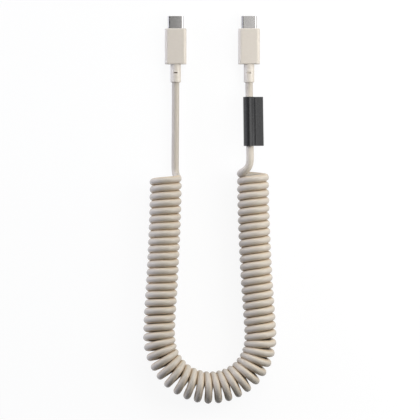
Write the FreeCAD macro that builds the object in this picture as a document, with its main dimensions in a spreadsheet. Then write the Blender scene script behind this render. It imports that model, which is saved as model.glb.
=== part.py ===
import FreeCAD, Part
import math
import os
import Sketcher

# A USB-C to USB-C cable with a curly cord, laid flat in a U.
# Millimetres. The cable lies on the surface z = 0. The origin is on that surface, midway between the two
# plugs. +X runs from plug A to plug B, and +Y out of the plugs' mouths.

Vector = FreeCAD.Vector

SIZES = {
    # the two plugs
    "plug_spacing": 38.7,
    "fit_gap": 0.02,
    # drawn steel shell
    "shell_width": 8.25,
    "shell_height": 2.40,
    "shell_wall": 0.20,
    "shell_reach": 6.65,
    "shell_inset": 3.50,
    "shell_lip": 0.12,
    # moulded contact carrier
    "carrier_recess": 0.25,
    "carrier_tail": 0.75,
    "tongue_slot_width": 6.80,
    "tongue_slot_height": 0.90,
    "tongue_slot_depth": 5.30,
    "channel_width": 0.34,
    "channel_height": 0.34,
    "channel_front_wall": 2.30,
    # contacts
    "contact_pitch": 0.50,
    "contact_width": 0.25,
    "contact_thickness": 0.12,
    "contact_opening": 0.48,
    "contact_tail": 1.30,
    "contact_arm": 1.40,
    "contact_pad": 0.30,
    "contact_nose": 0.80,
    "contact_nose_rise": 0.26,
    "contact_nose_room": 0.20,
    # latch spring
    "latch_thickness": 0.25,
    "latch_arm_width": 0.20,
    "latch_side_wall": 0.24,
    "latch_hook": 0.48,
    "latch_hook_length": 0.75,
    "latch_ramp": 0.25,
    "latch_tip_room": 0.90,
    "latch_back_room": 0.30,
    "latch_bridge": 4.30,
    # ground springs
    "ground_plate_width": 5.40,
    "ground_plate_length": 1.60,
    "ground_plate_setback": 0.50,
    "ground_thickness": 0.10,
    "ground_rim": 0.25,
    "finger_width": 0.80,
    "finger_pitch": 1.20,
    "finger_slope": 0.60,
    "finger_toe": 0.20,
    "finger_dip": 0.06,
    # paddle card
    "card_width": 7.40,
    "card_length": 5.75,
    "card_thickness": 0.80,
    "card_notch": 0.60,
    # shield cans
    "can_width": 8.80,
    "can_height": 3.60,
    "can_wall": 0.20,
    "can_seam": 0.04,
    "collar_length": 2.50,
    "collar_room": 0.55,
    # wires
    "wire_diameter": 0.80,
    "wire_pad": 1.20,
    "wire_pitch": 1.00,
    # housing
    "housing_width": 11.40,
    "housing_thickness": 6.20,
    "housing_length": 18.70,
    "housing_corner": 1.90,
    "housing_wall": 0.85,
    "housing_front_wall": 1.20,
    "housing_front_edge": 0.45,
    "housing_rear_edge": 0.50,
    "can_room": 0.20,
    # strain relief
    "relief_diameter": 5.55,
    "relief_length": 9.65,
    "relief_edge": 0.50,
    "relief_cap": 2.40,
    "relief_slot_length": 2.10,
    "relief_slot_width": 0.60,
    "relief_slot_from_end": 5.00,
    # cord
    "cable_diameter": 3.93,
    "jacket_into_can": 0.40,
    "coil_diameter": 16.90,
    # flag label
    "label_length": 26.00,
    "label_thickness": 1.00,
    "label_slack": 0.30,
    "label_flag_reach": 7.55,
    "label_from_relief": 7.70,
    "label_fold": 0.50,
}

CONTACT_PLACES = 12  # places across a row, of which each row fills some
UPPER_PLACES = (1, 4, 5, 6, 7, 9, 12)
LOWER_PLACES = (1, 4, 5, 9, 12)
FINGERS = 4
# wire colour, row (1 above the card, -1 below) and place across the row, in pitches
WIRES = (("red", 1, -1.0), ("blue", 1, 0.0), ("black", 1, 1.0), ("white", -1, -0.5), ("green", -1, 0.5))

# The cord's route. Each lead starts inside its plug and ends on the curly stretch's end face.
LEAD_A = [(-19.35, -67.9, 3.10)]
LEAD_B = [(19.35, -19.4, 3.10), (19.41, -23.0, 3.67), (19.72, -57.5, 14.74), (19.72, -65.5, 14.74)]
COIL = [
    (-24.50, -67.4, 8.45),
    (-28.55, -157.8, 8.45),
    (-21.60, -170.8, 8.45),
    (-8.95, -178.3, 8.45),
    (5.80, -178.3, 8.45),
    (18.40, -170.8, 8.45),
    (25.40, -157.8, 8.45),
    (21.30, -65.0, 8.45),
]
BEND_SHARE = 0.45
VOLUME_TOLERANCE = 0.01
TOUCH = 1e-4

doc = FreeCAD.newDocument("usb_c_cable")
sheet = doc.addObject("Spreadsheet::Sheet", "sizes")
for row, (alias, number) in enumerate(SIZES.items(), start=1):
    sheet.set(f"A{row}", alias)
    sheet.set(f"B{row}", str(number))
    sheet.setAlias(f"B{row}", alias)
doc.recompute()

# Stations along a plug, from its mouth to its cord, as expressions on the sheet.
TIP = "((sizes.shell_reach + sizes.housing_length + sizes.relief_length) / 2)"
FRONT = f"({TIP} - sizes.shell_reach)"
REAR = f"({FRONT} - sizes.housing_length)"
END = f"({REAR} - sizes.relief_length)"
SHELL_BACK = f"({FRONT} - sizes.shell_inset)"
CARRIER_FRONT = f"({TIP} - sizes.carrier_recess)"
CARRIER_BACK = f"({SHELL_BACK} - sizes.carrier_tail)"
CHANNEL_FRONT = f"({CARRIER_FRONT} - sizes.channel_front_wall)"
CARD_FRONT = f"({CARRIER_BACK} - sizes.fit_gap)"
CARD_BACK = f"({CARD_FRONT} - sizes.card_length)"
CAN_FRONT = f"({FRONT} - sizes.housing_front_wall - sizes.can_room)"
CAN_BACK = f"({REAR} + sizes.relief_cap + sizes.collar_room + sizes.collar_length)"
JACKET_END = f"({CAN_BACK} + sizes.jacket_into_can)"
PLATE_FRONT = f"({CARRIER_FRONT} - sizes.ground_plate_setback)"
PLATE_BACK = f"({PLATE_FRONT} - sizes.ground_plate_length)"

# Half heights above the plug's middle plane, and sizes that follow from a neighbour.
CARRIER_WIDTH = "(sizes.shell_width - 2 * sizes.shell_wall - 2 * sizes.fit_gap)"
CARRIER_HEIGHT = "(sizes.shell_height - 2 * sizes.shell_wall - 2 * sizes.fit_gap)"
CONTACT_LEVEL = "(sizes.card_thickness / 2 + sizes.fit_gap + sizes.contact_thickness / 2)"
CHANNEL_LEVEL = "((sizes.card_thickness + sizes.channel_height) / 2)"
LATCH_WIDTH = f"({CARRIER_WIDTH} - 2 * sizes.latch_side_wall - 2 * sizes.fit_gap)"
CAN_LENGTH = f"({CAN_FRONT} - {CAN_BACK})"
CAVITY_WIDTH = "(sizes.housing_width - 2 * sizes.housing_wall)"
CAVITY_HEIGHT = "(sizes.housing_thickness - 2 * sizes.housing_wall)"
CAVITY_CORNER = "(sizes.housing_corner - sizes.housing_wall)"
CABLE_BORE = "(sizes.cable_diameter + 2 * sizes.fit_gap)"
LABEL_BORE = "(sizes.cable_diameter + 2 * sizes.label_slack)"
LABEL_LOOP = f"({LABEL_BORE} + 2 * sizes.label_thickness)"
FLAG_THICKNESS = "(2 * sizes.label_thickness)"

nodes = []


def value(expression):
    """The number that an expression on the sheet gives."""
    return sheet.evalExpression(expression)


# Sketches and features.

def new_body(label):
    """An empty body with its own label, kept in the list of sub-parts."""
    body = doc.addObject("PartDesign::Body", label)
    body.Label = label
    nodes.append(body)
    return body


def origin_feature(body, role):
    return next(item for item in body.Origin.OriginFeatures if item.Role == role)


def attach(body, role, name, offsets):
    """A sketch on one of the body's origin planes, moved by expressions along the sketch's own axes."""
    sketch = body.newObject("Sketcher::SketchObject", name)
    sketch.AttachmentSupport = (origin_feature(body, role), [""])
    sketch.MapMode = "FlatFace"
    for axis, expression in zip("xyz", offsets):
        sketch.setExpression(f"AttachmentOffset.Base.{axis}", expression)
    return sketch


def cross_section(body, name, station, across="0", up="0"):
    """A sketch across the plug at a station on its length: sketch x is X, sketch y is Z."""
    return attach(body, "XZ_Plane", name, (across, up, f"-({station})"))


def plan(body, name, level, across="0", along="0"):
    """A sketch seen from above at a level: sketch x is X, sketch y is Y."""
    return attach(body, "XY_Plane", name, (across, along, level))


def bind(sketch, *constraint, size=None):
    """Adds a constraint, and binds its size to an expression where it has one."""
    if size is None:
        sketch.addConstraint(Sketcher.Constraint(*constraint))
        return
    index = sketch.addConstraint(Sketcher.Constraint(*constraint, value(size)))
    sketch.setExpression(f"Constraints[{index}]", size)


def circle(sketch, diameter):
    """A circle on the sketch's origin."""
    sketch.addGeometry(Part.Circle(Vector(), Vector(0, 0, 1), value(diameter) / 2), False)
    bind(sketch, "Coincident", 0, 3, -1, 1)
    bind(sketch, "Diameter", 0, size=diameter)


def rectangle(sketch, width, height):
    """A rectangle centred on the sketch's origin."""
    x = value(width) / 2
    y = value(height) / 2
    corners = [Vector(-x, -y), Vector(x, -y), Vector(x, y), Vector(-x, y)]
    for start, end in zip(corners, corners[1:] + corners[:1]):
        sketch.addGeometry(Part.LineSegment(start, end), False)
    for side in range(4):
        bind(sketch, "Coincident", side, 2, (side + 1) % 4, 1)
        bind(sketch, "Vertical" if side % 2 else "Horizontal", side)
    bind(sketch, "Symmetric", 0, 1, 2, 1, -1, 1)
    bind(sketch, "DistanceX", 0, 1, 0, 2, size=width)
    bind(sketch, "DistanceY", 1, 1, 1, 2, size=height)


def rounded_rectangle(sketch, width, height, radius):
    """A rectangle centred on the sketch's origin, with four tangent corner arcs of one radius."""
    x = value(width) / 2
    y = value(height) / 2
    r = value(radius)
    inner_x = x - r
    inner_y = y - r
    sides = [
        (Vector(-inner_x, -y), Vector(inner_x, -y)),
        (Vector(x, -inner_y), Vector(x, inner_y)),
        (Vector(inner_x, y), Vector(-inner_x, y)),
        (Vector(-x, inner_y), Vector(-x, -inner_y)),
    ]
    centres = [(inner_x, -inner_y), (inner_x, inner_y), (-inner_x, inner_y), (-inner_x, -inner_y)]
    for start, end in sides:
        sketch.addGeometry(Part.LineSegment(start, end), False)
    for corner, centre in enumerate(centres):
        ring = Part.Circle(Vector(*centre), Vector(0, 0, 1), r)
        first = (corner - 1) * math.pi / 2
        sketch.addGeometry(Part.ArcOfCircle(ring, first, first + math.pi / 2), False)
    for corner in range(4):
        arc = len(sides) + corner
        bind(sketch, "Tangent", corner, 2, arc, 1)
        bind(sketch, "Tangent", arc, 2, (corner + 1) % len(sides), 1)
        bind(sketch, "Vertical" if corner % 2 else "Horizontal", corner)
        if corner:
            bind(sketch, "Equal", 4, arc)
    bind(sketch, "Symmetric", 4, 3, 6, 3, -1, 1)
    bind(sketch, "Radius", 4, size=radius)
    bind(sketch, "DistanceX", 3, 1, 1, 1, size=width)
    bind(sketch, "DistanceY", 0, 1, 2, 1, size=height)


def stadium(sketch, width, height):
    """A flat oval centred on the sketch's origin: two straight sides and two half-round ends."""
    r = value(height) / 2
    x = value(width) / 2 - r
    sketch.addGeometry(Part.LineSegment(Vector(-x, -r), Vector(x, -r)), False)
    sketch.addGeometry(Part.LineSegment(Vector(x, r), Vector(-x, r)), False)
    for centre, first in ((x, -math.pi / 2), (-x, math.pi / 2)):
        ring = Part.Circle(Vector(centre, 0), Vector(0, 0, 1), r)
        sketch.addGeometry(Part.ArcOfCircle(ring, first, first + math.pi), False)
    bind(sketch, "Tangent", 0, 2, 2, 1)
    bind(sketch, "Tangent", 2, 2, 1, 1)
    bind(sketch, "Tangent", 1, 2, 3, 1)
    bind(sketch, "Tangent", 3, 2, 0, 1)
    bind(sketch, "Horizontal", 0)
    bind(sketch, "Equal", 2, 3)
    bind(sketch, "Symmetric", 2, 3, 3, 3, -1, 1)
    bind(sketch, "Radius", 2, size=f"({height}) / 2")
    bind(sketch, "DistanceX", 3, 3, 2, 3, size=f"({width}) - ({height})")


def feature(body, kind, name, sketch, length, reverse=False):
    """A pad or pocket of a sketch. Plain pads run along the sketch's normal, plain pockets against it."""
    made = body.newObject(f"PartDesign::{kind}", name)
    made.Profile = (sketch, [""])
    made.Reversed = reverse
    if length is None:
        made.Type = "ThroughAll"
    else:
        made.setExpression("Length", length)
    sketch.Visibility = False
    return made


def add_back(body, name, sketch, length):
    """Material from a cross section towards the cord."""
    return feature(body, "Pad", name, sketch, length)


def add_ahead(body, name, sketch, length):
    """Material from a cross section towards the mouth."""
    return feature(body, "Pad", name, sketch, length, reverse=True)


def cut_ahead(body, name, sketch, length):
    """A pocket from a cross section towards the mouth."""
    return feature(body, "Pocket", name, sketch, length)


def cut_back(body, name, sketch, length):
    """A pocket from a cross section towards the cord."""
    return feature(body, "Pocket", name, sketch, length, reverse=True)


def dress_edges(body, kind, name, base, size, chosen):
    """A chamfer or fillet on the base feature's edges that a test picks."""
    doc.recompute()
    edges = [f"Edge{i}" for i, edge in enumerate(base.Shape.Edges, start=1) if chosen(edge)]
    made = body.newObject(f"PartDesign::{kind}", name)
    made.Base = (base, edges)
    made.setExpression("Size" if kind == "Chamfer" else "Radius", size)
    doc.recompute()
    return made


def on_station(station):
    """A test for edges that lie wholly in the cross section at a station."""
    y = value(station)
    return lambda edge: max(abs(edge.BoundBox.YMin - y), abs(edge.BoundBox.YMax - y)) < TOUCH


def plug_place(side):
    """Where a plug's own frame lies: plug A is on side -1, plug B on side 1."""
    return Vector(side * value("sizes.plug_spacing") / 2, 0, value("sizes.housing_thickness") / 2)


def place_body(body, side, turn=0):
    """Puts a body into its plug's frame, turned about the plug's own length where asked."""
    body.Placement = FreeCAD.Placement(Vector(), FreeCAD.Rotation(Vector(0, 1, 0), turn))
    body.setExpression("Placement.Base.x", f"{side} * sizes.plug_spacing / 2")
    body.setExpression("Placement.Base.z", "sizes.housing_thickness / 2")


def keep_solid(label, shape, place=None):
    """A sub-part whose shape is worked out from the sheet's numbers."""
    made = doc.addObject("Part::Feature", label)
    made.Label = label
    made.Shape = shape
    if place is not None:
        made.Placement = FreeCAD.Placement(place, FreeCAD.Rotation())
    nodes.append(made)
    return made


# Shell and contact carrier.

def make_shell(label, side):
    """A drawn steel tube of flat oval section, with an eased lip at the mouth."""
    body = new_body(label)
    length = "sizes.shell_reach + sizes.shell_inset"
    outline = cross_section(body, f"{label}_outline", TIP)
    stadium(outline, "sizes.shell_width", "sizes.shell_height")
    blank = add_back(body, f"{label}_blank", outline, length)
    dress_edges(body, "Chamfer", f"{label}_lip", blank, "sizes.shell_lip", on_station(TIP))
    bore = cross_section(body, f"{label}_bore", TIP)
    inner_width = "sizes.shell_width - 2 * sizes.shell_wall"
    stadium(bore, inner_width, "sizes.shell_height - 2 * sizes.shell_wall")
    cut_back(body, f"{label}_drawn", bore, length)
    place_body(body, side)


def contact_across(row, place):
    """A contact's place across the plug; the lower row counts the other way."""
    steps = row * (place - (CONTACT_PLACES + 1) / 2)
    return f"{steps} * sizes.contact_pitch"


def make_carrier(label, side):
    """The moulded block in the shell: tongue slot, contact channels, latch slit and spring windows."""
    body = new_body(label)
    outline = cross_section(body, f"{label}_outline", CARRIER_FRONT)
    stadium(outline, CARRIER_WIDTH, CARRIER_HEIGHT)
    add_back(body, f"{label}_block", outline, f"{CARRIER_FRONT} - {CARRIER_BACK}")
    mouth = cross_section(body, f"{label}_mouth", CARRIER_FRONT)
    rectangle(mouth, "sizes.tongue_slot_width", "sizes.tongue_slot_height")
    cut_back(body, f"{label}_slot", mouth, "sizes.tongue_slot_depth")
    slit = cross_section(body, f"{label}_slit", CARRIER_BACK)
    slit_width = f"{LATCH_WIDTH} + 2 * sizes.fit_gap"
    rectangle(slit, slit_width, "sizes.latch_thickness + 2 * sizes.fit_gap")
    slit_end = f"{CARRIER_FRONT} - sizes.latch_tip_room + sizes.fit_gap"
    cut_ahead(body, f"{label}_latch_slit", slit, f"{slit_end} - {CARRIER_BACK}")
    for row, name, places in ((1, "upper", UPPER_PLACES), (-1, "lower", LOWER_PLACES)):
        for place in places:
            mark = cross_section(
                body, f"{label}_{name}_mark_{place}", CARRIER_BACK,
                contact_across(row, place), f"{row} * {CHANNEL_LEVEL}",
            )
            rectangle(mark, "sizes.channel_width", "sizes.channel_height")
            depth = f"{CHANNEL_FRONT} - {CARRIER_BACK}"
            cut_ahead(body, f"{label}_{name}_channel_{place}", mark, depth)
        middle = f"({PLATE_FRONT} + {PLATE_BACK}) / 2"
        seat = plan(body, f"{label}_{name}_seat", f"{row} * {CARRIER_HEIGHT} / 2", "0", middle)
        gap = "2 * sizes.fit_gap"
        rectangle(seat, f"sizes.ground_plate_width + {gap}", f"sizes.ground_plate_length + {gap}")
        seat_depth = "sizes.ground_thickness + sizes.fit_gap"
        feature(body, "Pocket", f"{label}_{name}_recess", seat, seat_depth, reverse=row < 0)
        opening = plan(body, f"{label}_{name}_opening", f"{row} * {CARRIER_HEIGHT} / 2", "0", middle)
        rim = "2 * sizes.ground_rim"
        rectangle(opening, f"sizes.ground_plate_width - {rim}", f"sizes.ground_plate_length - {rim}")
        feature(body, "Pocket", f"{label}_{name}_window", opening, f"{CARRIER_HEIGHT} / 2", reverse=row < 0)
    place_body(body, side)


# Strip metal in the mouth.

def bent_strip(points, thickness, width, across=0.0):
    """A strip bent along (y, z) points on its middle line, of even thickness, centred at x = across."""
    left = []
    right = []
    for i, (y, z) in enumerate(points):
        before = points[max(i - 1, 0)]
        after = points[min(i + 1, len(points) - 1)]
        inward = math.atan2(z - before[1], y - before[0]) if i else None
        outward = math.atan2(after[1] - z, after[0] - y) if i < len(points) - 1 else inward
        inward = outward if inward is None else inward
        aim = (inward + outward) / 2
        reach = thickness / 2 / math.cos((outward - inward) / 2)
        shift = (-math.sin(aim) * reach, math.cos(aim) * reach)
        left.append(Vector(across - width / 2, y + shift[0], z + shift[1]))
        right.append(Vector(across - width / 2, y - shift[0], z - shift[1]))
    outline = left + right[::-1]
    face = Part.Face(Part.makePolygon(outline + outline[:1]))
    return face.extrude(Vector(width, 0, 0))


def make_contacts(label, side, row, places):
    """One row of contacts: a tail on the card, a straight run in the channel and a sprung nose in the slot."""
    level = value(CONTACT_LEVEL)
    low = (value("sizes.contact_opening") + value("sizes.contact_thickness")) / 2
    nose = value(CHANNEL_FRONT) - value("sizes.contact_nose_room")
    pad_front = nose - value("sizes.contact_nose")
    pad_back = pad_front - value("sizes.contact_pad")
    line = [
        (value(CARD_FRONT) - value("sizes.contact_tail"), level),
        (pad_back - value("sizes.contact_arm"), level),
        (pad_back, low),
        (pad_front, low),
        (nose, low + value("sizes.contact_nose_rise")),
    ]
    points = [(y, row * z) for y, z in line]
    strips = []
    for place in places:
        across = value(contact_across(row, place))
        strips.append(bent_strip(points, value("sizes.contact_thickness"), value("sizes.contact_width"), across))
    keep_solid(label, Part.makeCompound(strips), plug_place(side))


def make_latch(label, side):
    """A flat U: the bridge lies between the contact rows, and each arm ends in a hook inside the slot."""
    half = value(LATCH_WIDTH) / 2
    arm = half - value("sizes.latch_arm_width")
    hook = arm - value("sizes.latch_hook")
    back = value(CARRIER_BACK) + value("sizes.latch_back_room")
    bridge = back + value("sizes.latch_bridge")
    tip = value(CARRIER_FRONT) - value("sizes.latch_tip_room")
    root = tip - value("sizes.latch_hook_length")
    ramp = value("sizes.latch_ramp")
    right = [
        (half, back),
        (half, tip),
        (arm, tip),
        (hook, tip - ramp),
        (hook, root + ramp),
        (arm, root),
        (arm, bridge),
    ]
    left = [(-x, y) for x, y in right[::-1]]
    bottom = -value("sizes.latch_thickness") / 2
    outline = [Vector(x, y, bottom) for x, y in right + left]
    face = Part.Face(Part.makePolygon(outline + outline[:1]))
    keep_solid(label, face.extrude(Vector(0, 0, value("sizes.latch_thickness"))), plug_place(side))


def make_ground_spring(label, side, row):
    """A thin plate in the carrier's recess, with a row of fingers that dip through its window."""
    thickness = value("sizes.ground_thickness")
    width = value("sizes.ground_plate_width")
    back = value(PLATE_BACK)
    length = value("sizes.ground_plate_length")
    top = value(CARRIER_HEIGHT) / 2
    floor = top - thickness if row > 0 else -top
    plate = Part.makeBox(width, length, thickness, Vector(-width / 2, back, floor))
    middle = top - thickness / 2
    low = value("sizes.tongue_slot_height") / 2 - value("sizes.finger_dip") + thickness / 2
    root = back + value("sizes.ground_rim") + thickness
    heel = root + value("sizes.finger_slope")
    line = [(root, middle), (heel, low), (heel + value("sizes.finger_toe"), low + thickness)]
    points = [(y, row * z) for y, z in line]
    fingers = []
    for i in range(FINGERS):
        across = (i - (FINGERS - 1) / 2) * value("sizes.finger_pitch")
        fingers.append(bent_strip(points, thickness, value("sizes.finger_width"), across))
    keep_solid(label, plate.multiFuse(fingers).removeSplitter(), plug_place(side))


# Card, shield cans and wires.

def make_card(label, side):
    """The small board behind the carrier, with a notch in each rear corner."""
    body = new_body(label)
    middle = f"({CARD_FRONT} + {CARD_BACK}) / 2"
    outline = plan(body, f"{label}_outline", "-sizes.card_thickness / 2", "0", middle)
    rectangle(outline, "sizes.card_width", "sizes.card_length")
    feature(body, "Pad", f"{label}_board", outline, "sizes.card_thickness")
    for hand, name in ((-1, "left"), (1, "right")):
        corner = plan(
            body, f"{label}_{name}_corner", "sizes.card_thickness / 2",
            f"{hand} * sizes.card_width / 2", CARD_BACK,
        )
        rectangle(corner, "2 * sizes.card_notch", "2 * sizes.card_notch")
        feature(body, "Pocket", f"{label}_{name}_notch", corner, None)
    place_body(body, side)


def make_can(label, side, turn):
    """Half of the folded steel can round the card, with half of the collar that is crimped on the jacket."""
    body = new_body(label)
    outline = cross_section(body, f"{label}_outline", CAN_FRONT)
    rectangle(outline, "sizes.can_width", "sizes.can_height")
    add_back(body, f"{label}_blank", outline, CAN_LENGTH)
    ring = cross_section(body, f"{label}_ring", CAN_BACK)
    circle(ring, f"{CABLE_BORE} + 2 * sizes.can_wall")
    add_back(body, f"{label}_collar", ring, "sizes.collar_length")
    middle = f"({CAN_FRONT} + {CAN_BACK}) / 2"
    inside = plan(body, f"{label}_inside", "0", "0", middle)
    rectangle(inside, "sizes.can_width - 2 * sizes.can_wall", f"{CAN_LENGTH} - 2 * sizes.can_wall")
    feature(body, "Pocket", f"{label}_hollow", inside, "sizes.can_height / 2 - sizes.can_wall", reverse=True)
    neck = cross_section(body, f"{label}_neck", CAN_FRONT)
    gap = "2 * sizes.fit_gap"
    stadium(neck, f"sizes.shell_width + {gap}", f"sizes.shell_height + {gap}")
    cut_back(body, f"{label}_shell_gap", neck, "2 * sizes.can_wall")
    throat = cross_section(body, f"{label}_throat", f"{CAN_BACK} + 2 * sizes.can_wall")
    circle(throat, CABLE_BORE)
    cut_back(body, f"{label}_jacket_gap", throat, None)
    half = plan(body, f"{label}_half", "sizes.can_seam / 2", "0", middle)
    rectangle(half, "2 * sizes.can_width", f"2 * ({CAN_LENGTH} + sizes.collar_length)")
    feature(body, "Pocket", f"{label}_parting", half, None)
    place_body(body, side, turn)


def tube(points, diameter):
    """A round tube along straight runs joined by tangent arcs, with its length and its bend radii.

    Each arc takes the same share of the shorter of its two runs, so it is as large as they allow.
    """
    corners = [Vector(*point) for point in points]
    runs = [after - before for before, after in zip(corners, corners[1:])]
    edges = []
    radii = []
    start = corners[0]
    for corner, before, after in zip(corners[1:-1], runs, runs[1:]):
        reach = BEND_SHARE * min(before.Length, after.Length)
        half_turn = before.getAngle(after) / 2
        radius = reach / math.tan(half_turn)
        into = Vector(before).normalize()
        out = Vector(after).normalize()
        entry = corner - into * reach
        leave = corner + out * reach
        inward = Vector(out - into).normalize()
        middle = corner + inward * (radius / math.cos(half_turn) - radius)
        edges.append(Part.LineSegment(start, entry).toShape())
        edges.append(Part.Arc(entry, middle, leave).toShape())
        radii.append(radius)
        start = leave
    edges.append(Part.LineSegment(start, corners[-1]).toShape())
    path = Part.Wire(edges)
    ring = Part.Wire(Part.Circle(corners[0], runs[0], diameter / 2).toShape())
    shape = path.makePipeShell([ring], True, True)
    return shape, path.Length, radii


def make_wires(prefix, side):
    """The five insulated wires, from the cut end of the jacket to their pads on the card."""
    level = "(sizes.card_thickness / 2 + sizes.wire_diameter / 2 + sizes.fit_gap)"
    for colour, row, place in WIRES:
        label = f"{prefix}_{colour}_wire"
        wire = doc.addObject("Part::Cylinder", label)
        wire.Label = label
        wire.setExpression("Radius", "sizes.wire_diameter / 2")
        wire.setExpression("Height", f"{CARD_BACK} + sizes.wire_pad - {JACKET_END}")
        wire.Placement = FreeCAD.Placement(Vector(), FreeCAD.Rotation(Vector(0, 0, 1), Vector(0, 1, 0)))
        wire.setExpression("Placement.Base.x", f"{side} * sizes.plug_spacing / 2 + {place} * sizes.wire_pitch")
        wire.setExpression("Placement.Base.y", JACKET_END)
        wire.setExpression("Placement.Base.z", f"sizes.housing_thickness / 2 + {row} * {level}")
        nodes.append(wire)


# Housing and strain relief.

def make_housing(label, side):
    """The moulded sleeve: a front wall with an oval opening for the shell, open at the rear."""
    body = new_body(label)
    outline = cross_section(body, f"{label}_outline", FRONT)
    rounded_rectangle(outline, "sizes.housing_width", "sizes.housing_thickness", "sizes.housing_corner")
    block = add_back(body, f"{label}_block", outline, "sizes.housing_length")
    front = dress_edges(
        body, "Chamfer", f"{label}_front_edge", block, "sizes.housing_front_edge", on_station(FRONT)
    )
    dress_edges(body, "Chamfer", f"{label}_rear_edge", front, "sizes.housing_rear_edge", on_station(REAR))
    cavity = cross_section(body, f"{label}_cavity", REAR)
    rounded_rectangle(cavity, CAVITY_WIDTH, CAVITY_HEIGHT, CAVITY_CORNER)
    cut_ahead(body, f"{label}_hollow", cavity, "sizes.housing_length - sizes.housing_front_wall")
    opening = cross_section(body, f"{label}_opening", FRONT)
    gap = "2 * sizes.fit_gap"
    stadium(opening, f"sizes.shell_width + {gap}", f"sizes.shell_height + {gap}")
    cut_back(body, f"{label}_mouth", opening, "2 * sizes.housing_front_wall")
    place_body(body, side)


def make_relief(label, side):
    """The moulded sleeve on the cord: a cap that closes the housing, and a bored neck with a cross slot."""
    body = new_body(label)
    gap = "2 * sizes.fit_gap"
    cap = cross_section(body, f"{label}_cap", REAR)
    rounded_rectangle(cap, f"{CAVITY_WIDTH} - {gap}", f"{CAVITY_HEIGHT} - {gap}", CAVITY_CORNER)
    add_ahead(body, f"{label}_plug", cap, "sizes.relief_cap")
    ring = cross_section(body, f"{label}_ring", REAR)
    circle(ring, "sizes.relief_diameter")
    neck = add_back(body, f"{label}_neck", ring, "sizes.relief_length")
    dress_edges(body, "Chamfer", f"{label}_end_edge", neck, "sizes.relief_edge", on_station(END))
    bore = cross_section(body, f"{label}_bore", f"{REAR} + 2 * sizes.relief_cap")
    circle(bore, CABLE_BORE)
    cut_back(body, f"{label}_cord_way", bore, None)
    slot = plan(
        body, f"{label}_slot", "sizes.relief_diameter", "0", f"{END} + sizes.relief_slot_from_end"
    )
    rectangle(slot, "sizes.relief_slot_length", "sizes.relief_slot_width")
    feature(body, "Pocket", f"{label}_flex_slot", slot, None)
    place_body(body, side)


# Cord and label.

def make_cord(label, points, diameter, stop=None):
    """A cord solid along its route, with its radii printed and its volume compared with section times length.

    A lead stops on the curly stretch: stop is an end point of that stretch and the next point along it.
    """
    shape, length, radii = tube(points, diameter)
    expected = math.pi * diameter**2 / 4 * length
    share = shape.Volume / expected
    print(f"{label}: length {length:.1f} mm, radii {[round(r, 1) for r in radii]}, volume share {share:.4f}")
    if abs(share - 1) > VOLUME_TOLERANCE:
        raise RuntimeError(f"{label} has the wrong volume")
    if stop is not None:
        shape = shape.cut(beyond(*stop))
    keep_solid(label, shape)


def beyond(face_middle, next_point):
    """A block that fills the space on the far side of an end face of the curly stretch."""
    middle = Vector(*face_middle)
    size = 2 * value("sizes.coil_diameter")
    block = Part.makeBox(size, size, size, Vector(-size / 2, -size / 2, 0))
    turn = FreeCAD.Rotation(Vector(0, 0, 1), Vector(*next_point) - middle)
    block.Placement = FreeCAD.Placement(middle, turn)
    return block


def lead_route(side, points):
    """A lead's whole route, from the cut end of its jacket inside the plug."""
    start = plug_place(side)
    return [(start.x, value(JACKET_END), start.z)] + points


def make_label(label, route):
    """A strip folded round the lead and bonded to itself: a loop on the cord and a flag to its right.

    It sits on the lead's last run but one, the straight climb to the curly stretch.
    """
    body = new_body(label)
    loop = cross_section(body, f"{label}_loop", "sizes.label_length / 2")
    circle(loop, LABEL_LOOP)
    add_back(body, f"{label}_wrap", loop, "sizes.label_length")
    edge = cross_section(body, f"{label}_edge", "sizes.label_length / 2", "sizes.label_flag_reach / 2")
    rectangle(edge, "sizes.label_flag_reach", FLAG_THICKNESS)
    flag = add_back(body, f"{label}_flag", edge, "sizes.label_length")
    reach = value("sizes.label_flag_reach")

    def in_the_fold(line):
        box = line.BoundBox
        return box.YLength > TOUCH > box.XLength and 0 < box.XMin < reach - TOUCH

    dress_edges(body, "Fillet", f"{label}_fold", flag, "sizes.label_fold", in_the_fold)
    bore = cross_section(body, f"{label}_bore", "sizes.label_length / 2")
    circle(bore, LABEL_BORE)
    cut_back(body, f"{label}_cord_way", bore, "sizes.label_length")
    near, far = (Vector(*point) for point in route[-3:-1])
    along = Vector(near - far).normalize()
    station = value(END) - value("sizes.label_from_relief") - value("sizes.label_length") / 2
    middle = near + (far - near) * ((station - near.y) / (far.y - near.y))
    turn = FreeCAD.Rotation(Vector(1, 0, 0), along, Vector(0, 0, 1), "YXZ")
    body.Placement = FreeCAD.Placement(middle, turn)


for prefix, side in (("plug_a", -1), ("plug_b", 1)):
    make_shell(f"{prefix}_shell", side)
    make_carrier(f"{prefix}_contact_carrier", side)
    make_contacts(f"{prefix}_upper_contacts", side, 1, UPPER_PLACES)
    make_contacts(f"{prefix}_lower_contacts", side, -1, LOWER_PLACES)
    make_latch(f"{prefix}_latch_spring", side)
    make_ground_spring(f"{prefix}_upper_ground_spring", side, 1)
    make_ground_spring(f"{prefix}_lower_ground_spring", side, -1)
    make_card(f"{prefix}_paddle_card", side)
    make_can(f"{prefix}_upper_shield_can", side, 0)
    make_can(f"{prefix}_lower_shield_can", side, 180)
    make_wires(prefix, side)
    make_housing(f"{prefix}_housing", side)
    make_relief(f"{prefix}_strain_relief", side)

route_b = lead_route(1, LEAD_B)
make_cord("lead_a", lead_route(-1, LEAD_A), value("sizes.cable_diameter"), COIL[:2])
make_cord("curly_cord", COIL, value("sizes.coil_diameter"))
make_cord("lead_b", route_b, value("sizes.cable_diameter"), COIL[:-3:-1])
make_label("flag_label", route_b)

doc.recompute()
failed = [item.Label for item in doc.Objects if {"Invalid", "Error"} & set(item.State)]
failed += [node.Label for node in nodes if node.Shape.isNull() or not node.Shape.isValid()]
if failed:
    raise RuntimeError(f"these objects failed: {failed}")

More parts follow.
